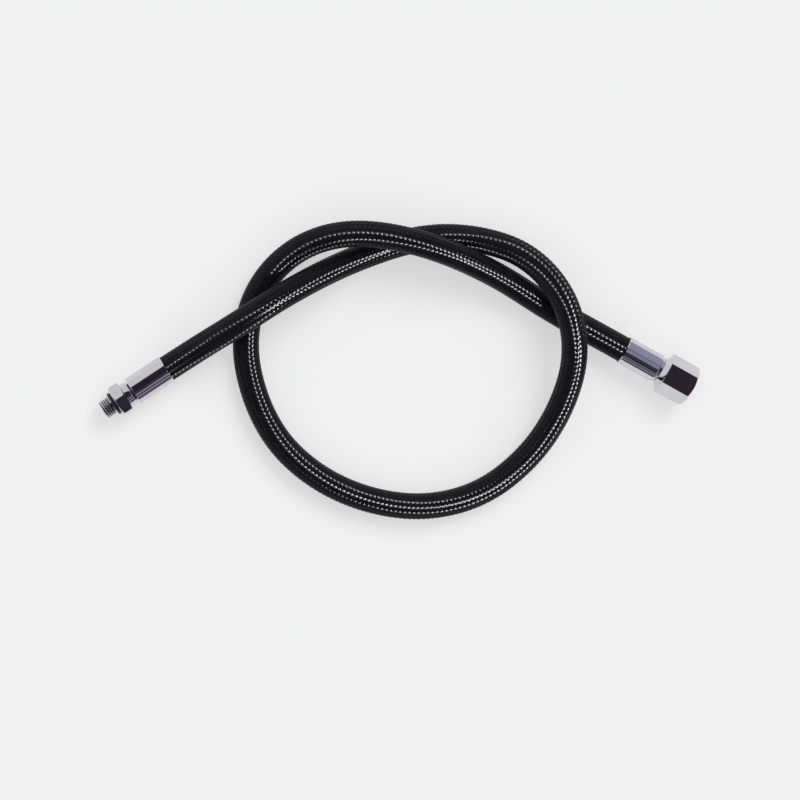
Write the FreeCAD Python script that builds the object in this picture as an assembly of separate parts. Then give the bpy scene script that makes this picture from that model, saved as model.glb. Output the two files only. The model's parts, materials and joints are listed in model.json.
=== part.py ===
import FreeCAD, Part
import math
import os

# A braided low-pressure hose, tied in one loose overhand knot and laid on a flat surface. One end
# has a male threaded fitting with a face O-ring, the other a female swivel nut. Millimetres, +Z up,
# z = 0 is the surface. The origin lies on it, midway between the two fittings.

# ---- hose layers, inside to outside
HOSE_R = 6.3            # outside of the braided cover
REINFORCEMENT_R = 5.2   # outside of the reinforcement braid
LINER_R = 4.6           # outside of the liner tube
BORE_R = 3.2            # flow bore of the liner

# ---- route of the hose's centreline, chosen by hand, from its end in the male fitting to its end
# in the female one. The end runs are also the axes of the two fittings.
ROUTE = [
    (-126.4, -3.8, 8.22), (-101.7, 12.4, 8.48),                      # out of the male ferrule
    (-77.1, 28.2, 21.1), (-53.6, 43.2, 20.9),                        # over the loop's left side
    (-24.6, 56.9, 8.1), (8.0, 67.8, 6.4), (35.3, 67.7, 7.4),         # under itself at the middle
    (60.0, 59.4, 14.7), (77.0, 39.3, 20.6), (82.8, 13.3, 21.0),      # over itself at the right
    (76.5, -13.5, 15.4), (61.9, -38.1, 7.2), (37.4, -56.8, 6.4),     # round the loop
    (6.2, -62.8, 6.4), (-27.8, -54.8, 6.4), (-54.6, -36.4, 6.4),
    (-69.5, -12.6, 6.4), (-76.1, 17.1, 6.3), (-69.4, 43.7, 7.5),     # under at the left
    (-51.0, 63.2, 12.2), (-25.1, 71.0, 19.3), (9.6, 65.1, 22.5),     # over itself at the middle
    (44.2, 50.9, 9.9), (72.6, 32.6, 6.8),                            # under at the right
    (96.3, 19.8, 8.73), (122.1, 5.4, 8.73),                          # into the female ferrule
]
ARC_SHARE = 0.45        # tangent length of an arc, as a share of the shorter of its two runs

# ---- both fittings. x runs outwards along the fitting, from the mouth of its ferrule
HOSE_DEPTH = 17.0       # how far the hose goes into the ferrule
TAIL_START = 1.0
TAIL_BORE_R = 2.2
BARB_ROOT_R = 2.85
BARB_PITCH = 3.0
BARB_COUNT = 5
BARB_LAND = 0.5
STOP_R = 5.0            # shoulder that the hose's end butts against
STOP_END = 17.6
FERRULE_WALL = 0.65
MOUTH_RELIEF = 0.3      # the ferrule's mouth is flared by this much over MOUTH_DEPTH
MOUTH_DEPTH = 1.3
RIM_BEVEL = 0.3
HEX_BEVEL_DROP = 0.45   # how far in from the flats a hexagon's bevelled end face starts
HEX_BEVEL_SLOPE = math.tan(math.radians(30))
THREAD_FLANK_SLOPE = math.tan(math.radians(30))

# ---- male fitting: 3/8-24 thread, 9/16 in hexagon
MALE_FERRULE_END = 19.25
MALE_NECK_R = 4.3
MALE_COLLAR_START = 19.95
MALE_COLLAR_R = 5.75
MALE_HEX_START = 22.9
MALE_HEX_END = 28.7
MALE_HEX_FLATS = 14.29
MALE_ROLL = -19.4       # degrees that the hexagon is turned about the fitting's axis
MALE_GROOVE_R = 3.97
MALE_THREAD_START = 30.9
MALE_THREAD_FIRST_CREST = 31.5
MALE_TIP = 35.8
MALE_THREAD_R = 4.7625
MALE_PITCH = 25.4 / 24
MALE_THREAD_DEPTH = 0.613 * MALE_PITCH
MALE_CREST_COUNT = 4
MALE_BORE_R = 2.6
PORT_RING_SECTION_R = 0.89

# ---- female fitting: 9/16-18 swivel nut, 11/16 in hexagon
FEMALE_FERRULE_END = 19.4
FEMALE_FERRULE_ROUND = 1.2
FEMALE_NECK_R = 4.25
NUT_NECK_CLEARANCE = 0.05
NUT_BACK = 20.2
NUT_BACK_R = 6.3
NUT_CONE_R = 8.45      # where the cone meets the back of the hexagon
NUT_HEX_START = 22.6
NUT_MOUTH = 37.8
NUT_FLATS = 17.46
NUT_WALL_END = 24.4     # inner face of the nut's back wall
NUT_CAVITY_R = 7.25
NUT_FIRST_CREST = 31.4
NUT_THREAD_R = 6.5      # crests of the nut's thread, its smallest radius
NUT_PITCH = 25.4 / 18
NUT_THREAD_DEPTH = 0.5 * NUT_PITCH
NUT_CREST_COUNT = 4
HEAD_START = 24.6       # the stem's head holds the nut on
HEAD_END = 27.0
HEAD_R = 6.2
NOSE_END = 30.6
NOSE_R = 4.4
NOSE_GROOVE_START = 27.9
NOSE_GROOVE_END = 29.9
NOSE_GROOVE_R = 3.03
NOSE_BORE_R = 2.4
NOSE_RING_SECTION_R = 0.89
RING_GAP = 0.01         # an O-ring lies this close to the faces it touches


# ---- hose
def path_of(points):
    """Straight runs joined by tangent arcs through the route: the wire, and the arcs' radii."""
    edges = []
    radii = []
    start = points[0]
    for before, corner, after in zip(points, points[1:], points[2:]):
        back = before - corner
        onward = after - corner
        reach = ARC_SHARE * min(back.Length, onward.Length)
        radius = reach / math.tan((math.pi - back.getAngle(onward)) / 2)
        back.normalize()
        onward.normalize()
        inward = (back + onward).normalize()
        centre = corner + inward * math.hypot(radius, reach)
        arc_start = corner + back * reach
        arc_end = corner + onward * reach
        edges.append(Part.LineSegment(start, arc_start).toShape())
        edges.append(Part.Arc(arc_start, centre - inward * radius, arc_end).toShape())
        radii.append(radius)
        start = arc_end
    edges.append(Part.LineSegment(start, points[-1]).toShape())
    return Part.Wire(edges), radii


def tube_along(path, heading, outer_r, inner_r):
    start = path.Vertexes[0].Point
    circles = [Part.Wire(Part.makeCircle(r, start, heading)) for r in (outer_r, inner_r)]
    return path.makePipe(Part.makeFace(circles, "Part::FaceMakerBullseye"))


# ---- turned pieces, made along +X with the mouth of the ferrule at x = 0
def turned(outline):
    """Revolve a closed outline of (x, radius) corners about the X axis."""
    corners = [FreeCAD.Vector(x, 0, r) for x, r in outline]
    face = Part.Face(Part.makePolygon(corners + corners[:1]))
    return face.revolve(FreeCAD.Vector(0, 0, 0), FreeCAD.Vector(1, 0, 0), 360)


def hexagon(start, end, flats, square_start=False):
    """A hexagonal bar along X with a flat on top. Both ends are bevelled, or only the outer one."""
    corner_r = flats / math.sqrt(3)
    corners = []
    for k in range(6):
        angle = math.radians(60 * k)
        corners.append(FreeCAD.Vector(start, corner_r * math.cos(angle), corner_r * math.sin(angle)))
    face = Part.Face(Part.makePolygon(corners + corners[:1]))
    bar = face.extrude(FreeCAD.Vector(end - start, 0, 0))
    end_r = flats / 2 - HEX_BEVEL_DROP
    bevel = (corner_r - end_r) * HEX_BEVEL_SLOPE
    back = [(start, corner_r + 1)] if square_start else [(start, end_r), (start + bevel, corner_r)]
    envelope = turned([(start, 0), *back, (end - bevel, corner_r), (end, end_r), (end, 0)])
    return bar.common(envelope)


def barbs():
    """Outline of the barbed tail, from its open end to the shoulder that the hose butts against."""
    outline = [(TAIL_START, TAIL_BORE_R)]
    for k in range(BARB_COUNT):
        start = TAIL_START + k * BARB_PITCH
        crest = start + BARB_PITCH - BARB_LAND
        outline += [(start, BARB_ROOT_R), (crest, BORE_R), (crest + BARB_LAND, BORE_R)]
    tail_end = TAIL_START + BARB_COUNT * BARB_PITCH
    outline += [(tail_end, BARB_ROOT_R), (HOSE_DEPTH, BARB_ROOT_R)]
    outline += [(HOSE_DEPTH, STOP_R), (STOP_END, STOP_R)]
    return outline


def thread_crests(first, pitch, count, crest_r, depth, crest_width):
    """Outline of full rings with 60 degree flanks, standing for a thread. A negative depth is a nut's."""
    flank = abs(depth) * THREAD_FLANK_SLOPE
    outline = []
    for k in range(count):
        start = first + k * pitch
        outline += [(start - flank, crest_r - depth), (start, crest_r)]
        outline += [(start + crest_width, crest_r), (start + crest_width + flank, crest_r - depth)]
    return outline


def ferrule(end, neck_r):
    """A crimped sleeve: open at the mouth, with an end wall that grips the stem's neck."""
    outer_r = HOSE_R + FERRULE_WALL
    mouth_r = HOSE_R + MOUTH_RELIEF
    return turned([
        (0, mouth_r), (0, outer_r - RIM_BEVEL), (RIM_BEVEL, outer_r),
        (end - RIM_BEVEL, outer_r), (end, outer_r - RIM_BEVEL), (end, neck_r),
        (STOP_END, neck_r), (STOP_END, HOSE_R), (MOUTH_DEPTH, HOSE_R),
    ])


def male_ferrule():
    return ferrule(MALE_FERRULE_END, MALE_NECK_R)


def female_ferrule():
    """The same sleeve with its outer end rounded over."""
    outer_r = HOSE_R + FERRULE_WALL
    radius = FEMALE_FERRULE_ROUND
    sleeve = ferrule(FEMALE_FERRULE_END, FEMALE_NECK_R)
    core = turned([(-1, 0), (-1, outer_r), (FEMALE_FERRULE_END, outer_r), (FEMALE_FERRULE_END, 0)])
    rims = [e for e in core.Edges if e.BoundBox.XMin > FEMALE_FERRULE_END - 0.1 and e.BoundBox.ZLength > 1
            and e.BoundBox.XLength < 0.1]
    return sleeve.common(core.makeFillet(radius, rims))


def male_stem():
    crest_width = MALE_PITCH / 8
    root_r = MALE_THREAD_R - MALE_THREAD_DEPTH
    outline = barbs() + [
        (STOP_END, MALE_NECK_R), (MALE_COLLAR_START, MALE_NECK_R),
        (MALE_COLLAR_START, MALE_COLLAR_R - RIM_BEVEL), (MALE_COLLAR_START + RIM_BEVEL, MALE_COLLAR_R),
        (MALE_HEX_START, MALE_COLLAR_R), (MALE_HEX_END, MALE_COLLAR_R),
        (MALE_HEX_END, MALE_GROOVE_R), (MALE_THREAD_START, MALE_GROOVE_R), (MALE_THREAD_START, root_r),
    ]
    outline += thread_crests(MALE_THREAD_FIRST_CREST, MALE_PITCH, MALE_CREST_COUNT,
                             MALE_THREAD_R, MALE_THREAD_DEPTH, crest_width)
    outline += [(MALE_TIP - RIM_BEVEL, root_r), (MALE_TIP, root_r - RIM_BEVEL), (MALE_TIP, MALE_BORE_R),
                (HOSE_DEPTH, MALE_BORE_R), (HOSE_DEPTH - MALE_BORE_R + TAIL_BORE_R, TAIL_BORE_R)]
    flats = hexagon(MALE_HEX_START, MALE_HEX_END, MALE_HEX_FLATS)
    bore = Part.makeCylinder(MALE_COLLAR_R - 1, MALE_TIP, FreeCAD.Vector(0, 0, 0), FreeCAD.Vector(1, 0, 0))
    return turned(outline).fuse(flats.cut(bore)).removeSplitter()


def female_stem():
    outline = barbs() + [
        (STOP_END, FEMALE_NECK_R), (HEAD_START, FEMALE_NECK_R),
        (HEAD_START, HEAD_R), (HEAD_END - RIM_BEVEL, HEAD_R), (HEAD_END, HEAD_R - RIM_BEVEL),
        (HEAD_END, NOSE_R), (NOSE_GROOVE_START, NOSE_R), (NOSE_GROOVE_START, NOSE_GROOVE_R),
        (NOSE_GROOVE_END, NOSE_GROOVE_R), (NOSE_GROOVE_END, NOSE_R), (NOSE_END - RIM_BEVEL, NOSE_R),
        (NOSE_END, NOSE_R - RIM_BEVEL), (NOSE_END, NOSE_BORE_R),
        (HOSE_DEPTH, NOSE_BORE_R), (HOSE_DEPTH - NOSE_BORE_R + TAIL_BORE_R, TAIL_BORE_R),
    ]
    return turned(outline)


def swivel_nut():
    """A hexagonal nut with a cone at its back, turning freely on the stem's neck."""
    hole_r = FEMALE_NECK_R + NUT_NECK_CLEARANCE
    crest_width = NUT_PITCH / 4
    root_r = NUT_THREAD_R + NUT_THREAD_DEPTH
    inside = [(NUT_BACK, 0), (NUT_BACK, hole_r), (NUT_WALL_END, hole_r), (NUT_WALL_END, NUT_CAVITY_R)]
    first_flank = NUT_FIRST_CREST - NUT_THREAD_DEPTH * THREAD_FLANK_SLOPE
    inside += [(first_flank - RIM_BEVEL, NUT_CAVITY_R)]
    inside += thread_crests(NUT_FIRST_CREST, NUT_PITCH, NUT_CREST_COUNT,
                            NUT_THREAD_R, -NUT_THREAD_DEPTH, crest_width)
    inside += [(NUT_MOUTH, root_r), (NUT_MOUTH, 0)]
    cone = turned([(NUT_BACK, 0), (NUT_BACK, NUT_BACK_R - RIM_BEVEL), (NUT_BACK + RIM_BEVEL, NUT_BACK_R),
                   (NUT_HEX_START, NUT_CONE_R), (NUT_HEX_START + 1, 0)])
    body = hexagon(NUT_HEX_START, NUT_MOUTH, NUT_FLATS, square_start=True).fuse(cone)
    return body.cut(turned(inside)).removeSplitter()


def o_ring(middle, groove_r, section_r):
    return Part.makeTorus(groove_r + RING_GAP + section_r, section_r,
                          FreeCAD.Vector(middle, 0, 0), FreeCAD.Vector(1, 0, 0))


def fitting_place(hose_end, before, roll):
    """Where a fitting goes: its axis lies along the last run of the route."""
    outward = (hose_end - before).normalize()
    yaw = math.degrees(math.atan2(outward.y, outward.x))
    pitch = -math.degrees(math.asin(outward.z))
    return FreeCAD.Placement(hose_end - outward * HOSE_DEPTH, FreeCAD.Rotation(yaw, pitch, roll))


def placed(shape, place):
    shape.Placement = place.multiply(shape.Placement)
    return shape


def main():
    route = [FreeCAD.Vector(*point) for point in ROUTE]
    path, radii = path_of(route)
    male = fitting_place(route[0], route[1], MALE_ROLL)
    female = fitting_place(route[-1], route[-2], 0)
    heading = route[1] - route[0]
    port_ring_at = MALE_HEX_END + RING_GAP + PORT_RING_SECTION_R
    nose_ring_at = (NOSE_GROOVE_START + NOSE_GROOVE_END) / 2

    nodes = {
        "liner_tube": tube_along(path, heading, LINER_R, BORE_R),
        "reinforcement_braid": tube_along(path, heading, REINFORCEMENT_R, LINER_R),
        "outer_braid": tube_along(path, heading, HOSE_R, REINFORCEMENT_R),
        "male_stem": placed(male_stem(), male),
        "male_ferrule": placed(male_ferrule(), male),
        "port_o_ring": placed(o_ring(port_ring_at, MALE_GROOVE_R, PORT_RING_SECTION_R), male),
        "female_stem": placed(female_stem(), female),
        "female_ferrule": placed(female_ferrule(), female),
        "nose_o_ring": placed(o_ring(nose_ring_at, NOSE_GROOVE_R, NOSE_RING_SECTION_R), female),
        "swivel_nut": placed(swivel_nut(), female),
    }

    os.makedirs("parts", exist_ok=True)
    for name, shape in nodes.items():
        if not shape.isValid() or len(shape.Solids) != 1:
            print("check this shape:", name, shape.isValid(), len(shape.Solids))
        box = shape.optimalBoundingBox(True, False)
        print(f"{name:20s} {shape.Volume:9.1f} mm3  z {box.ZMin:7.3f} to {box.ZMax:7.3f}")
        shape.exportStep(f"parts/{name}.step")

    print("bend radii", [round(radius) for radius in radii])
    print("hose length", round(path.Length, 1))
    section = math.pi * (HOSE_R ** 2 - REINFORCEMENT_R ** 2)
    print("cover volume over section times length",
          round(nodes["outer_braid"].Volume / (section * path.Length), 5))
    print("male mouth", male.Base, "axis", male.Rotation.multVec(FreeCAD.Vector(1, 0, 0)))
    print("female mouth", female.Base, "axis", female.Rotation.multVec(FreeCAD.Vector(1, 0, 0)))


main()
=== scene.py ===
import json
import math

import bmesh
import bpy
import numpy as np
from mathutils import Matrix, Vector


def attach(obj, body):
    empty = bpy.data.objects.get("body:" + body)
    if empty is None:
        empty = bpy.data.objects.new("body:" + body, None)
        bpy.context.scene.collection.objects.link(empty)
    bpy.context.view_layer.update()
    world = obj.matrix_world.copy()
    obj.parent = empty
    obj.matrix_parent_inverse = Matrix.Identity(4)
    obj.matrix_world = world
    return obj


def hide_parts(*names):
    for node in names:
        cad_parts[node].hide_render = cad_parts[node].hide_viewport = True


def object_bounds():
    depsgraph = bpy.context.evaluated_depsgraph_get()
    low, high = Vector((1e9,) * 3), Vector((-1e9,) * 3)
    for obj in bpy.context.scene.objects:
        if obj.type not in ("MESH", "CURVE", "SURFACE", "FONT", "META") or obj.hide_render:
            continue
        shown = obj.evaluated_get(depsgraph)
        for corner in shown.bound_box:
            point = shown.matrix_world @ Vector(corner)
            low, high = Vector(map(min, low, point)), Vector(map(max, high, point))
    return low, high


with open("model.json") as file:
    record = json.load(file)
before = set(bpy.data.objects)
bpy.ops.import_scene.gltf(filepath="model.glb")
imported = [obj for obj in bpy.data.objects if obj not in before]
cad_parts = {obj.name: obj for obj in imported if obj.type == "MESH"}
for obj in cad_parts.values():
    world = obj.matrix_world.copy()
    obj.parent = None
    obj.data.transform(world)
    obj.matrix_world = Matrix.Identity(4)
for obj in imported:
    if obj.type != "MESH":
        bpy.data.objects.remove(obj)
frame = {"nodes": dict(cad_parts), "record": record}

# A braided hose in a loose overhand knot, with a male fitting at its left end and a female swivel
# nut at its right. Metres, in the CAD's frame; MM turns millimetres into metres.
MM = 0.001
scene = bpy.context.scene
record = frame["record"]
mounts = {mount["name"]: mount for mount in record["mounts"]}
cad_box = [list(corner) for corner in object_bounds()]

# ---- camera, nearly straight above, looking down at the middle of the picture
CAMERA_AT = Vector((-0.18, 0.0721, 1.5))
LOOK_AT = Vector((0.0, -0.0104, 0.0))
LENS = 141.84           # mm, on a sensor 36 mm wide
camera = bpy.data.objects.new("camera", bpy.data.cameras.new("camera"))
scene.collection.objects.link(camera)
camera.location = CAMERA_AT
ahead = (LOOK_AT - camera.location).normalized()
right = ahead.cross(Vector((0, 1, 0))).normalized()
camera.rotation_mode = "QUATERNION"
turned = Matrix((right, right.cross(ahead), -ahead)).transposed()
camera.rotation_quaternion = turned.to_quaternion()
camera.data.sensor_width = 36
camera.data.lens = LENS
camera.data.clip_start = 0.05
scene.camera = camera

# ---- the hose's route, the same points as in the CAD source
ROUTE = [
    (-0.1264, -0.0038, 0.00822), (-0.1017, 0.0124, 0.00848),
    (-0.0771, 0.0282, 0.0211), (-0.0536, 0.0432, 0.0209),
    (-0.0246, 0.0569, 0.0081), (0.0080, 0.0678, 0.0064), (0.0353, 0.0677, 0.0074),
    (0.0600, 0.0594, 0.0147), (0.0770, 0.0393, 0.0206), (0.0828, 0.0133, 0.0210),
    (0.0765, -0.0135, 0.0154), (0.0619, -0.0381, 0.0072), (0.0374, -0.0568, 0.0064),
    (0.0062, -0.0628, 0.0064), (-0.0278, -0.0548, 0.0064), (-0.0546, -0.0364, 0.0064),
    (-0.0695, -0.0126, 0.0064), (-0.0761, 0.0171, 0.0063), (-0.0694, 0.0437, 0.0075),
    (-0.0510, 0.0632, 0.0122), (-0.0251, 0.0710, 0.0193), (0.0096, 0.0651, 0.0225),
    (0.0442, 0.0509, 0.0099), (0.0726, 0.0326, 0.0068),
    (0.0963, 0.0198, 0.00873), (0.1221, 0.0054, 0.00873),
]
HOSE_R = 6.3 * MM
REINFORCEMENT_R = 5.2 * MM
LINER_R = 4.6 * MM
BORE_R = 3.2 * MM
CORE_R = 5.5 * MM       # of the ground that shows between the yarns
LAYER_STEP = 1.5 * MM   # between the rows of a layer's mesh
LAYER_COLUMNS = 64

# ---- the braid: 32 yarns, half of them each way, over two and under two
YARNS_EACH_WAY = 16
TURN = 34.4 * MM        # length of hose in which a yarn goes round once
YARN_HALF_WIDTH = 0.78 * MM
YARN_HALF_THICKNESS = 0.26 * MM
YARN_LIFT = 0.17 * MM   # how far a yarn rises and sinks as it goes over and under
YARN_STEP = 0.36 * MM   # between the rows of a yarn's mesh
YARN_FOOT = 0.6         # depth of its underside, in half thicknesses
YARNS_A_PIECE = 4
CROWN_POINTS = 9        # across the rounded top of a yarn
ON_TOP_AT = {1: 0.5, -1: 2.5}    # where each way's first yarn is on top, in wales, 32 to a turn


# ---- mesh helpers
def mesh_object(name, points, faces, uv=None):
    """A mesh object from an array of points and a list of arrays of faces, one array for each
    number of corners. uv has a pair for each face corner."""
    mesh = bpy.data.meshes.new(name)
    corners = np.concatenate([np.ravel(block) for block in faces]).astype(np.int32)
    sizes = np.concatenate([np.full(len(block), block.shape[1]) for block in faces])
    sizes = sizes.astype(np.int32)
    mesh.vertices.add(len(points))
    mesh.vertices.foreach_set("co", np.asarray(points, np.float32).ravel())
    mesh.loops.add(len(corners))
    mesh.loops.foreach_set("vertex_index", corners)
    mesh.polygons.add(len(sizes))
    mesh.polygons.foreach_set("loop_start", (np.cumsum(sizes) - sizes).astype(np.int32))
    mesh.update(calc_edges=True)
    if uv is not None:
        layer = mesh.uv_layers.new(name="surface")
        layer.data.foreach_set("uv", np.asarray(uv, np.float32).ravel())
    mesh.shade_smooth()
    made = bpy.data.objects.new(name, mesh)
    scene.collection.objects.link(made)
    return made


def grid_faces(rows, columns, start=0):
    """Quads of a grid of points whose columns close on themselves."""
    i, j = np.meshgrid(np.arange(rows - 1), np.arange(columns), indexing="ij")
    k = (j + 1) % columns
    corners = [i * columns + j, i * columns + k, (i + 1) * columns + k, (i + 1) * columns + j]
    return start + np.stack([corner.ravel() for corner in corners], axis=1)


def grid_uv(rows, columns, along, around):
    """A pair for each corner of grid_faces: along at each row, around at each column."""
    i, j = np.meshgrid(np.arange(rows - 1), np.arange(columns), indexing="ij")
    i, j = i.ravel(), j.ravel()
    pairs = [(i, j), (i, j + 1), (i + 1, j + 1), (i + 1, j)]
    return np.stack([np.stack([along[a], around[b]], axis=1) for a, b in pairs], axis=1)


def sharp_edges(made, degrees):
    """Keep the edges between faces that turn by more than this sharp."""
    work = bmesh.new()
    work.from_mesh(made.data)
    for edge in work.edges:
        if len(edge.link_faces) == 2:
            edge.smooth = edge.calc_face_angle(0.0) < math.radians(degrees)
    work.to_mesh(made.data)
    work.free()


# ---- the hose's centreline, from the route's NURBS spline
def route_line():
    """The points of the spline through the route, 48 to a stretch."""
    curve = bpy.data.curves.new("route", "CURVE")
    curve.dimensions = "3D"
    curve.resolution_u = 48
    spline = curve.splines.new("NURBS")
    spline.points.add(len(ROUTE) - 1)
    for point, place in zip(spline.points, ROUTE):
        point.co = (*place, 1.0)
    spline.order_u = 3
    spline.use_endpoint_u = True
    holder = bpy.data.objects.new("route", curve)
    mesh = bpy.data.meshes.new_from_object(holder)
    line = np.array([vertex.co for vertex in mesh.vertices], float)
    bpy.data.objects.remove(holder)
    bpy.data.meshes.remove(mesh)
    bpy.data.curves.remove(curve)
    return line


def framed(line):
    """Distance along the line and, at each point, two directions across it that don't twist."""
    steps = np.diff(line, axis=0)
    along = np.concatenate([[0.0], np.cumsum(np.linalg.norm(steps, axis=1))])
    heading = np.gradient(line, along, axis=0)
    heading /= np.linalg.norm(heading, axis=1)[:, None]
    up = np.zeros_like(line)
    up[0] = (0, 0, 1)
    for i in range(len(line)):
        if i:
            up[i] = up[i - 1]
        up[i] -= heading[i] * (up[i] @ heading[i])
        up[i] /= np.linalg.norm(up[i])
    return along, heading, up, np.cross(heading, up)


LINE = route_line()
ALONG, HEADING, UP, SIDE = framed(LINE)
LENGTH = ALONG[-1]


def station(at):
    """Centre and the two directions across the hose at distances along it."""
    values = [np.stack([np.interp(at, ALONG, table[:, k]) for k in range(3)], axis=1)
              for table in (LINE, UP, SIDE)]
    for table in values[1:]:
        table /= np.linalg.norm(table, axis=1)[:, None]
    return values


def hose_layer(name, outer_r, inner_r):
    """One layer of the hose: a thick-walled tube, closed at both ends."""
    columns = LAYER_COLUMNS
    at = np.linspace(0, LENGTH, int(LENGTH / LAYER_STEP))
    centre, up, side = station(at)
    angle = np.linspace(0, 2 * math.pi, columns, endpoint=False)
    across = up[:, None] * np.cos(angle)[:, None] + side[:, None] * np.sin(angle)[:, None]
    outside = centre[:, None] + outer_r * across
    inside = centre[:, None] + inner_r * across
    rows = len(at)
    points = np.concatenate([outside, inside[::-1]]).reshape(-1, 3)
    faces = grid_faces(2 * rows, columns)
    last = grid_faces(2, columns, (2 * rows - 1) * columns)
    last[:, 2:] -= 2 * rows * columns
    way = np.concatenate([at, at[::-1], at[:1]])
    around = np.arange(columns + 1) / columns
    uv = np.concatenate([grid_uv(2 * rows, columns, way / MM, around),
                         grid_uv(2, columns, way[-2:] / MM, around)])
    return mesh_object(name, points, [np.concatenate([faces, last])], uv)


def yarn_piece(name, way, first):
    """Four neighbouring yarns that wind the same way (+1 or -1)."""
    at = np.linspace(0, LENGTH, int(LENGTH / YARN_STEP))
    centre, up, side = station(at)
    crown = np.linspace(0, math.pi, CROWN_POINTS)
    section = np.concatenate([np.stack([np.cos(crown), np.sin(crown)], axis=1),
                              [(0, -YARN_FOOT)]])
    columns = len(section)
    points, faces, uvs = [], [], []
    for k in range(first, first + YARNS_A_PIECE):
        angle = way * 2 * math.pi * at / TURN + 2 * math.pi * k / YARNS_EACH_WAY
        wale = angle * YARNS_EACH_WAY / math.pi - ON_TOP_AT[way]
        lift = np.cos(wale * math.pi / 2)
        out = up * np.cos(angle)[:, None] + side * np.sin(angle)[:, None]
        radius = HOSE_R - YARN_HALF_THICKNESS - YARN_LIFT + YARN_LIFT * lift
        middle = centre + out * radius[:, None]
        heading = np.gradient(middle, at, axis=0)
        heading /= np.linalg.norm(heading, axis=1)[:, None]
        flat = np.cross(heading, out)
        flat /= np.linalg.norm(flat, axis=1)[:, None]
        rise = np.cross(flat, heading)
        ring = (middle[:, None] + flat[:, None] * (section[:, :1] * YARN_HALF_WIDTH)
                + rise[:, None] * (section[:, 1:] * YARN_HALF_THICKNESS))
        start = len(points) * len(at) * columns
        points.append(ring.reshape(-1, 3))
        faces.append(grid_faces(len(at), columns, start))
        steps = np.linalg.norm(np.diff(middle, axis=0), axis=1)
        length = np.concatenate([[0], np.cumsum(steps)])
        around = k + np.arange(columns + 1) / columns
        uvs.append(grid_uv(len(at), columns, length / MM, around))
    caps = []
    for block in range(YARNS_A_PIECE):
        start = block * len(at) * columns
        caps.append(start + np.arange(columns)[::-1])
        caps.append(start + (len(at) - 1) * columns + np.arange(columns))
    quads = np.concatenate(faces)
    cap_uv = np.zeros((len(caps) * columns, 2))
    uv = np.concatenate([np.concatenate(uvs).reshape(-1, 2), cap_uv])
    return mesh_object(name, np.concatenate(points), [quads, np.array(caps)], uv)


# ---- materials
CHROME = (0.68, 0.67, 0.705)


def new_material(name, metallic, roughness):
    """A material with its node tree and its Principled shader."""
    material = bpy.data.materials.new(name)
    material.use_nodes = True
    tree = material.node_tree
    shader = tree.nodes["Principled BSDF"]
    shader.inputs["Metallic"].default_value = metallic
    shader.inputs["Roughness"].default_value = roughness
    return material, tree, shader


def node(tree, kind, inputs=(), **settings):
    """A shader node with its settings, and each input linked to a socket or given a value."""
    made = tree.nodes.new("ShaderNode" + kind)
    for key, value in settings.items():
        setattr(made, key, value)
    for socket, value in dict(inputs).items():
        if isinstance(value, bpy.types.NodeSocket):
            tree.links.new(value, made.inputs[socket])
        else:
            made.inputs[socket].default_value = value
    return made


def math_node(tree, operation, *values):
    """Maths on numbers or sockets."""
    return node(tree, "Math", dict(enumerate(values)), operation=operation).outputs[0]


def vector_node(tree, operation, *values):
    """Vector maths: a number from a product or a length, a vector from anything else."""
    made = node(tree, "VectorMath", dict(enumerate(values)), operation=operation)
    return made.outputs["Value" if operation in ("DOT_PRODUCT", "LENGTH") else "Vector"]


def mapped(tree, value, start, end, low=0.0, high=1.0):
    """The value moved from the range start to end to the range low to high, and kept in it."""
    return node(tree, "MapRange", {"Value": value, "From Min": start, "From Max": end,
                                   "To Min": low, "To Max": high}).outputs["Result"]


def ramp(tree, factor, stops):
    """A colour ramp of (position, colour) stops, colours as one number or three."""
    made = node(tree, "ValToRGB", {"Fac": factor})
    elements = made.color_ramp.elements
    while len(elements) < len(stops):
        elements.new(0.5)
    for element, (position, colour) in zip(elements, stops):
        element.position = position
        rgb = colour if isinstance(colour, tuple) else (colour,) * 3
        element.color = (*rgb, 1.0)
    return made.outputs["Color"]


def bump(tree, height, strength, distance):
    made = node(tree, "Bump", {"Height": height, "Strength": strength, "Distance": distance})
    return made.outputs["Normal"]


def noise(tree, place, scale, detail, **inputs):
    """A noise texture's value: 3-D by a vector, 1-D by a number given as W."""
    values = {"Scale": scale, "Detail": detail, **inputs}
    if place is None:
        return node(tree, "TexNoise", values, noise_dimensions="1D").outputs["Fac"]
    return node(tree, "TexNoise", {"Vector": place, **values}).outputs["Fac"]


def surface_uv(tree, scale=None):
    """The UV map, stretched by a scale: millimetres along the hose or yarn, and turns round it."""
    uv = node(tree, "UVMap", uv_map="surface").outputs["UV"]
    if scale is None:
        return uv
    return node(tree, "Mapping", {"Vector": uv, "Scale": scale}).outputs["Vector"]


def yarn_material():
    """Glossy black multifilament yarn: fine filaments along it, a little colour change from yarn
    to yarn, and the shine of fibres, which is broad across them and narrow along them."""
    material, tree, shader = new_material("braid_yarn", 0.0, 0.3)
    link = tree.links.new
    filaments = noise(tree, surface_uv(tree, (0.35, 15.0, 1.0)), 1.0, 2.0, Roughness=0.5)
    patches = noise(tree, surface_uv(tree, (0.05, 1.7, 1.0)), 1.0, 1.0)
    link(ramp(tree, patches, [(0.3, (0.003, 0.003, 0.0045)), (0.7, (0.007, 0.0068, 0.009))]),
         shader.inputs["Base Color"])
    link(ramp(tree, filaments, [(0.25, 0.31), (0.75, 0.37)]), shader.inputs["Roughness"])
    tangent = node(tree, "Tangent", direction_type="UV_MAP", uv_map="surface")
    link(tangent.outputs["Tangent"], shader.inputs["Tangent"])
    shader.inputs["Anisotropic"].default_value = 1.0
    shader.inputs["Anisotropic Rotation"].default_value = 0.25    # a quarter turn
    shader.inputs["Specular IOR Level"].default_value = 0.16
    return material


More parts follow.
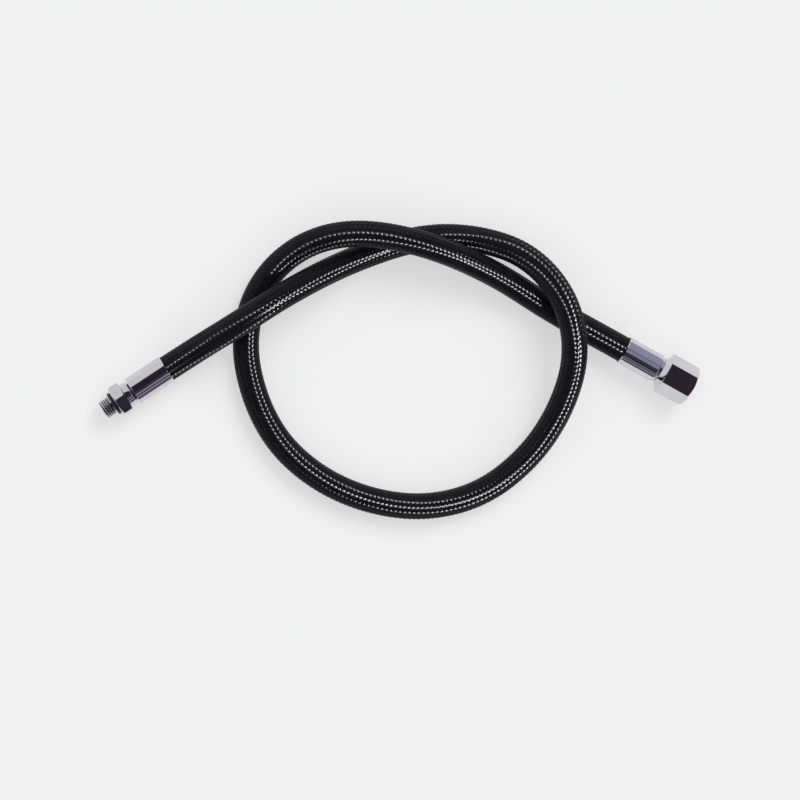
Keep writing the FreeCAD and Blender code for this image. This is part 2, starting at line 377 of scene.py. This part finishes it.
def core_material():
    """What shows between the yarns: the dark undersides of the braid on the rubber cover."""
    material, tree, shader = new_material("braid_ground", 0.0, 0.7)
    grain = noise(tree, surface_uv(tree, (1.0, 24.0, 1.0)), 3.0, 3.0)
    tree.links.new(ramp(tree, grain, [(0.3, 0.004), (0.7, 0.010)]), shader.inputs["Base Color"])
    tree.links.new(bump(tree, grain, 0.4, 0.0001), shader.inputs["Normal"])
    shader.inputs["Specular IOR Level"].default_value = 0.2
    return material


def reinforcement_material():
    """Matt off-white yarn braid, out of sight inside the hose."""
    material, tree, shader = new_material("reinforcement_yarn", 0.0, 0.75)
    yarn_pitch, yarns_round = 1.7, 24
    slants = []
    for slant in (1.0, -1.0):
        parts = node(tree, "SeparateXYZ", {"Vector": surface_uv(tree)}).outputs
        along = math_node(tree, "MULTIPLY", parts["X"], slant * 2 * math.pi / yarn_pitch)
        around = math_node(tree, "MULTIPLY", parts["Y"], yarns_round * 2 * math.pi)
        slants.append(math_node(tree, "SINE", math_node(tree, "ADD", along, around)))
    weave = math_node(tree, "MAXIMUM", *slants)
    tree.links.new(ramp(tree, weave, [(0.0, (0.33, 0.32, 0.29)), (0.9, (0.58, 0.57, 0.53))]),
                   shader.inputs["Base Color"])
    tree.links.new(bump(tree, weave, 0.6, 0.0002), shader.inputs["Normal"])
    return material


def rubber_material(name, colour, roughness, grain_scale):
    """Satin moulded rubber with a fine grain."""
    material, tree, shader = new_material(name, 0.0, roughness)
    place = node(tree, "TexCoord").outputs["Object"]
    grain = noise(tree, place, grain_scale, 4.0)
    dark = tuple(0.7 * channel for channel in colour)
    tree.links.new(ramp(tree, grain, [(0.3, dark), (0.7, colour)]), shader.inputs["Base Color"])
    tree.links.new(ramp(tree, grain, [(0.3, roughness - 0.08), (0.7, roughness + 0.08)]),
                   shader.inputs["Roughness"])
    tree.links.new(bump(tree, grain, 0.25, 0.00003), shader.inputs["Normal"])
    return material


def chrome_material(name, axis, polish=(0.02, 0.055)):
    """Polished chrome with faint lines left by the lathe round the axis, and a little haze."""
    material, tree, shader = new_material(name, 1.0, 0.05)
    place = node(tree, "TexCoord").outputs["Object"]
    along = vector_node(tree, "DOT_PRODUCT", place, tuple(axis))
    turned = noise(tree, None, 9000.0, 2.0, W=along)
    haze = noise(tree, place, 160.0, 3.0)
    hazed = tuple(0.94 * channel for channel in CHROME)
    tree.links.new(ramp(tree, haze, [(0.35, hazed), (0.65, CHROME)]), shader.inputs["Base Color"])
    tree.links.new(ramp(tree, haze, [(0.35, polish[0]), (0.7, polish[1])]),
                   shader.inputs["Roughness"])
    tree.links.new(bump(tree, turned, 0.3, 0.000004), shader.inputs["Normal"])
    return material


def thread_material(name, mount, root_r, crest_r):
    """Cut thread: satin on its crests, with painted shade in its roots: the base colour darkens
    towards the root radius.
    """
    material = chrome_material(name, mount["axis"], (0.20, 0.32))
    tree = material.node_tree
    shader = tree.nodes["Principled BSDF"]
    place = node(tree, "TexCoord").outputs["Object"]
    arm = vector_node(tree, "SUBTRACT", place, tuple(mount["pos_m"]))
    arm = vector_node(tree, "CROSS_PRODUCT", arm, tuple(mount["axis"]))
    share = mapped(tree, vector_node(tree, "LENGTH", arm), root_r, crest_r)
    # Painted shade: the near-black colour that the thread's roots take, where the crests would
    # shade them.
    dark = tuple(0.22 * channel for channel in CHROME)
    tree.links.new(ramp(tree, share, [(0.1, dark), (0.5, CHROME)]), shader.inputs["Base Color"])
    return material


# ---- fittings: x runs outwards along the fitting from the mouth of its ferrule, in millimetres
def fitting_frame(mount, start, roll):
    """The matrix from a fitting's own frame to the part's, from a mount whose wall starts at this
    distance from the mouth, and the fitting's roll in degrees."""
    axis = Vector(mount["axis"]).normalized()
    mouth = Vector(mount["pos_m"]) - axis * ((start + mount["dims"]["length_mm"] / 2) * MM)
    turn = (Matrix.Rotation(math.atan2(axis.y, axis.x), 4, "Z")
            @ Matrix.Rotation(-math.asin(axis.z), 4, "Y")
            @ Matrix.Rotation(math.radians(roll), 4, "X"))
    return Matrix.Translation(mouth) @ turn


MALE = fitting_frame(mounts["male_thread"], 31.5, -19.4)
FEMALE = fitting_frame(mounts["nut_thread"], 31.4, 0)
MALE_GAP = (17.6, 19.95)       # the neck between the ferrule and the collar
MALE_THREAD = (30.9, 35.5)
MALE_CREST_R = 4.7625
OUTSIDE_R = 3.5                # every outer face of the male stem is further out than this
THREAD_STEP = 0.045            # between the rows of a thread's mesh
ROOT_SHARE = 0.125             # of the pitch that is flat at the root
HEXAGON_DROP = 0.45            # how far inside its flats a hexagon's bevel ends
INCH = 25.4
COLUMNS = 192
AROUND = np.linspace(0, 2 * math.pi, COLUMNS, endpoint=False)


def flats_radius(flats):
    """A hexagon's radius in each direction, with a flat on top."""
    corner = math.radians(60)
    offset = (AROUND + corner / 2) % corner - corner / 2
    return flats / 2 / np.cos(offset)


def thread_rows(start, end, pitch, crest_r, depth, crest_share, run_in, run_out):
    """Rows of a right-hand helical thread from start to end. A negative depth is a nut's."""
    rows = []
    flank_share = (1 - crest_share - ROOT_SHARE) / 2
    for x in np.arange(start, end + 1e-9, THREAD_STEP):
        phase = (x / pitch - AROUND / (2 * math.pi)) % 1.0
        fall = np.clip((np.abs(phase - 0.5) - crest_share / 2) / flank_share, 0, 1)
        ease = min(1.0, (x - start) / run_in, (end - x) / run_out)
        height = (1 - fall) * max(0.0, ease)
        rows.append((x, crest_r - depth * (1 - height)))
    return rows


def lathed(name, rows, place):
    """A turned piece from a loop of rows of (x, radius), each a number or one per direction."""
    points = []
    for x, radius in rows:
        x = np.broadcast_to(x, AROUND.shape)
        radius = np.broadcast_to(radius, AROUND.shape)
        points.append(np.stack([x, -radius * np.sin(AROUND), radius * np.cos(AROUND)], axis=1))
    points = np.concatenate(points) * MM
    matrix = np.array(place)
    points = points @ matrix[:3, :3].T + matrix[:3, 3]
    faces = grid_faces(len(rows), COLUMNS)
    last = grid_faces(2, COLUMNS, (len(rows) - 1) * COLUMNS)
    last[:, 2:] -= len(rows) * COLUMNS
    return mesh_object(name, points, [np.concatenate([faces, last])])


def banded(made, rows, bands):
    """Give the outer faces in each band, a start and an end, the piece's next material slot."""
    use = np.zeros(len(made.data.polygons), np.int32)
    for slot, (start, end) in enumerate(bands, 1):
        for band, ((x, radius), (next_x, _)) in enumerate(zip(rows, rows[1:])):
            if start <= np.min(x) and np.max(next_x) <= end and np.min(radius) > OUTSIDE_R:
                use[band * COLUMNS:(band + 1) * COLUMNS] = slot
    for _ in range(len(bands) + 1):
        made.data.materials.append(None)
    made.data.polygons.foreach_set("material_index", use)


def hexagon_rows(start, end, flats, square_start=False):
    """Rows of a hexagon with its end faces bevelled at 30 degrees, or only the outer one."""
    radius = flats_radius(flats)
    end_r = flats / 2 - HEXAGON_DROP
    bevel = (radius - end_r) * math.tan(math.radians(30))
    back = [(start, radius)] if square_start else [(start, end_r), (start + bevel, radius)]
    return [*back, (end - bevel, radius), (end, end_r)]


def male_stem():
    """The barbed tail, neck, collar, hexagon, O-ring groove and thread, round the bore."""
    pitch = INCH / 24
    depth = 0.613 * pitch
    root = MALE_CREST_R - depth
    rows = [(1.0, 2.2)]
    for k in range(5):
        rows += [(1 + 3 * k, 2.85), (3.5 + 3 * k, 3.2), (4 + 3 * k, 3.2)]
    rows += [(16, 2.85), (17, 2.85), (17, 5.0), (MALE_GAP[0], 5.0), (MALE_GAP[0], 4.3)]
    rows += [(MALE_GAP[1], 4.3), (MALE_GAP[1], 5.45), (20.04, 5.66), (20.25, 5.75), (22.9, 5.75)]
    rows += hexagon_rows(22.9, 28.7, 14.29)
    rows += [(28.7, 3.97), (MALE_THREAD[0], 3.97), (MALE_THREAD[0], root)]
    rows += thread_rows(31.0, 35.4, pitch, MALE_CREST_R, depth, crest_share=0.125,
                        run_in=0.35, run_out=0.35)
    rows += [(MALE_THREAD[1], root), (35.72, root - 0.1), (35.8, root - 0.3), (35.8, 2.6),
             (17, 2.6), (16.6, 2.2)]
    made = lathed("male_stem_turned", rows, MALE)
    # The neck band gets painted shade for its deep gap, and the thread band gets the thread finish
    # with painted shade in its roots.
    banded(made, rows, [MALE_GAP, MALE_THREAD])
    return made


def swivel_nut():
    """The cone, the hexagon and the threaded mouth, open at the back for the stem."""
    pitch = INCH / 18
    depth = 0.5 * pitch
    rows = [(20.2, 4.3), (20.2, 6.0), (20.29, 6.21), (20.5, 6.3), (22.6, 8.45)]
    rows += hexagon_rows(22.6, 37.8, 17.46, square_start=True)
    rows += [(37.8, 7.35)]
    rows += reversed(thread_rows(31.0, 37.6, pitch, 6.5, -depth, crest_share=0.25,
                                 run_in=0.4, run_out=0.5))
    rows += [(30.7, 7.25), (24.4, 7.25), (24.4, 4.3)]
    return lathed("swivel_nut_turned", rows, FEMALE)


# ---- the hose
core = hose_layer("braid_ground", CORE_R, REINFORCEMENT_R)
reinforcement = hose_layer("reinforcement_layer", REINFORCEMENT_R, LINER_R)
liner = hose_layer("liner_layer", LINER_R, BORE_R)
yarns = []
for side_name, way in (("right", 1), ("left", -1)):
    for group in range(YARNS_EACH_WAY // YARNS_A_PIECE):
        yarns.append(yarn_piece(f"yarns_{side_name}_{group + 1}", way, group * YARNS_A_PIECE))

stem = male_stem()
nut = swivel_nut()
for made in (stem, nut):
    sharp_edges(made, degrees=28)

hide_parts("outer_braid")
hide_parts("reinforcement_braid")
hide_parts("liner_tube")
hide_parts("male_stem")
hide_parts("swivel_nut")
for piece, slot in [(core, "braid"), (reinforcement, "reinforcement"), (liner, "liner"),
                    (stem, "chrome_stem"), (nut, "chrome_nut"),
                    *((yarn, "braid") for yarn in yarns)]:
    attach(piece, "nut" if piece is nut else "hose")
nodes = {name: bpy.data.objects[name] for name in frame["nodes"]}

# ---- finishes
finishes = {
    "male_chrome": chrome_material("male_chrome", mounts["male_thread"]["axis"]),
    "female_chrome": chrome_material("female_chrome", mounts["nut_thread"]["axis"]),
    # Painted shade: the chrome neck between the male ferrule and collar gets a near-black
    # rubber-like finish that stands in for the shadow in its gap.
    "painted_neck_shade": rubber_material("painted_shade_neck", (0.012, 0.012, 0.014), 0.6, 900.0),
    "thread": thread_material("male_thread", mounts["male_thread"], 4.11 * MM, 4.76 * MM),
    "seal": rubber_material("seal_rubber", (0.014, 0.013, 0.013), 0.42, 1400.0),
    "liner": rubber_material("liner_rubber", (0.03, 0.03, 0.032), 0.55, 500.0),
    "yarn": yarn_material(),
    "ground": core_material(),
    "reinforcement": reinforcement_material(),
}
wears = {"ground": [core, nodes["outer_braid"]],
         "reinforcement": [reinforcement, nodes["reinforcement_braid"]],
         "liner": [liner, nodes["liner_tube"]],
         "yarn": yarns,
         "seal": [nodes["port_o_ring"], nodes["nose_o_ring"]],
         "male_chrome": [nodes["male_ferrule"], nodes["male_stem"]],
         "female_chrome": [nut, nodes["female_ferrule"], nodes["female_stem"], nodes["swivel_nut"]]}
for finish, pieces in wears.items():
    for piece in pieces:
        piece.data.materials.clear()
        piece.data.materials.append(finishes[finish])
# The stem's slots: chrome, the painted shade of the neck, and the thread with painted shade in its
# roots.
for slot, finish in enumerate(("male_chrome", "painted_neck_shade", "thread")):
    stem.data.materials[slot] = finishes[finish]

# ---- floor, world and lights
FLOOR_HALF_SIDE = 8.0
FLOOR_Z = cad_box[0][2]
EVEN_LIGHT = (0.739, 0.739, 0.75, 1.0)
FLOOR_GREY = 0.344
FLOOR_GLOW = 0.52
PALE_SIDE = 125                # azimuth of the studio's pale side, in degrees
KEY_POWER = 1.47
KEY_SIZE = 30                  # of the sun's disc, in degrees
KEY_ANGLES = (0.0, 42, 60)     # of the sun's rotation, in degrees


def only_reflected(made):
    """The object shows in reflections and does nothing else."""
    made.visible_camera = False
    made.visible_diffuse = False
    made.visible_transmission = False
    made.visible_volume_scatter = False


# The floor is lit from above and glows a little, as a light table does, so its shadows stay pale.
corners = [(x * FLOOR_HALF_SIDE, y * FLOOR_HALF_SIDE, FLOOR_Z)
           for x, y in ((-1, -1), (1, -1), (1, 1), (-1, 1))]
floor = mesh_object("floor", np.array(corners), [np.array([[0, 1, 2, 3]])])
floor_material, _, shader = new_material("floor", 0.0, 1.0)
shader.inputs["Specular IOR Level"].default_value = 0.0
shader.inputs["Base Color"].default_value = (FLOOR_GREY, FLOOR_GREY, FLOOR_GREY, 1.0)
shader.inputs["Emission Color"].default_value = (1.0, 1.0, 1.0, 1.0)
shader.inputs["Emission Strength"].default_value = FLOOR_GLOW
floor.data.materials.append(floor_material)


# The strips in the studio's dark side: height of the direction from 0 to 1, and brightness.
STRIPS = [
    (0.0, 0.26), (0.04, 0.22), (0.12, 0.13), (0.20, 0.09), (0.32, 0.09), (0.40, 0.17), (0.46, 0.26),
    (0.49, 0.42), (0.53, 0.42), (0.56, 0.22), (0.60, 0.10), (0.66, 0.05), (0.715, 0.040),
    (0.725, 0.030), (0.75, 0.030), (0.765, 0.08), (0.785, 0.38), (0.83, 0.38), (0.85, 0.13),
    (0.88, 0.05), (0.92, 0.035)]


def mixed(tree, factor, first, second, blend="MIX"):
    """A mix of two colours, each a socket or a value."""
    made = node(tree, "Mix", data_type="RGBA", blend_type=blend)
    for socket, value in zip((0, 6, 7), (factor, first, second)):
        if isinstance(value, bpy.types.NodeSocket):
            tree.links.new(value, made.inputs[socket])
        else:
            made.inputs[socket].default_value = value
    return made.outputs[2]


def studio_world():
    """Even light on everything. Reflections see a studio: pale to the north-west, grey-blue to the
    north-east, dark with pale strips to the south, and a dark patch overhead."""
    world = bpy.data.worlds.new("studio")
    world.use_nodes = True
    tree = world.node_tree
    direction = node(tree, "TexCoord").outputs["Generated"]
    level = vector_node(tree, "MULTIPLY", direction, (1.0, 1.0, 0.0))
    level = vector_node(tree, "NORMALIZE", level)
    pale = (math.cos(math.radians(PALE_SIDE)), math.sin(math.radians(PALE_SIDE)), 0.0)
    facing = mapped(tree, vector_node(tree, "DOT_PRODUCT", level, pale), -1.0, 1.0)
    sides = ramp(tree, facing, [(0.30, 0.0), (0.42, (0.31, 0.31, 0.40)),
                                (0.69, (0.36, 0.36, 0.48)), (0.76, (0.80, 0.80, 0.82))])
    # The strips sit lower towards the south-west.
    height = node(tree, "SeparateXYZ", {"Vector": direction}).outputs["Z"]
    east = node(tree, "SeparateXYZ", {"Vector": level}).outputs["X"]
    spread = mapped(tree, east, -0.225, 0.545, 1.23, 1.0)
    raised = math_node(tree, "MULTIPLY", height, spread)
    tinted = [(at, (bright, 0.92 * bright, 1.2 * bright)) for at, bright in STRIPS]
    around = mixed(tree, 1.0, sides, ramp(tree, raised, tinted), blend="LIGHTEN")
    patch_middle = tuple(Vector((-0.12, 0.07, 1.0)).normalized())
    overhead = vector_node(tree, "DOT_PRODUCT", direction, patch_middle)
    inside = ramp(tree, overhead, [(0.850, 0.0), (0.870, 1.0)])
    patch = ramp(tree, overhead, [(0.86, (0.07, 0.068, 0.085)), (0.94, (0.033, 0.024, 0.033)),
                                  (1.0, (0.020, 0.018, 0.028))])
    reflected = mixed(tree, inside, around, patch)
    glossy = node(tree, "LightPath").outputs["Is Glossy Ray"]
    tree.links.new(mixed(tree, glossy, EVEN_LIGHT, reflected),
                   tree.nodes["Background"].inputs["Color"])
    scene.world = world


studio_world()


def lamp(name, azimuth, off_vertical, distance, size, power, lit, colour=(1.0, 1.0, 1.0)):
    """A round lamp that shows only as a reflection, in the pieces that it lights. It is aimed at
    the middle of the floor from an azimuth and an angle off the vertical, in degrees."""
    data = bpy.data.lights.new(name, "AREA")
    data.shape = "DISK"
    data.size = size
    data.energy = power
    data.color = colour
    made = bpy.data.objects.new(name, data)
    scene.collection.objects.link(made)
    a, t = math.radians(azimuth), math.radians(off_vertical)
    back = Vector((math.sin(t) * math.cos(a), math.sin(t) * math.sin(a), math.cos(t)))
    made.location = back * distance
    made.rotation_mode = "QUATERNION"
    made.rotation_quaternion = (-back).to_track_quat("-Z", "Y")
    only_reflected(made)
    made.light_linking.receiver_collection = bpy.data.collections.new(name)
    for piece in lit:
        made.light_linking.receiver_collection.objects.link(piece)


key = bpy.data.objects.new("key", bpy.data.lights.new("key", "SUN"))
key.data.angle = math.radians(KEY_SIZE)
key.data.energy = KEY_POWER
key.rotation_euler = [math.radians(angle) for angle in KEY_ANGLES]
key.visible_glossy = False
scene.collection.objects.link(key)
lamp("glint", azimuth=337, off_vertical=40, distance=0.7, size=0.09, power=29.0, lit=yarns)
lamp("ferrule_fill", azimuth=0, off_vertical=15, distance=2.0, size=0.95, power=0.66,
     lit=[nodes["female_ferrule"]], colour=(0.86, 0.85, 1.25))

scene.view_settings.view_transform = "Standard"
scene.view_settings.look = "None"
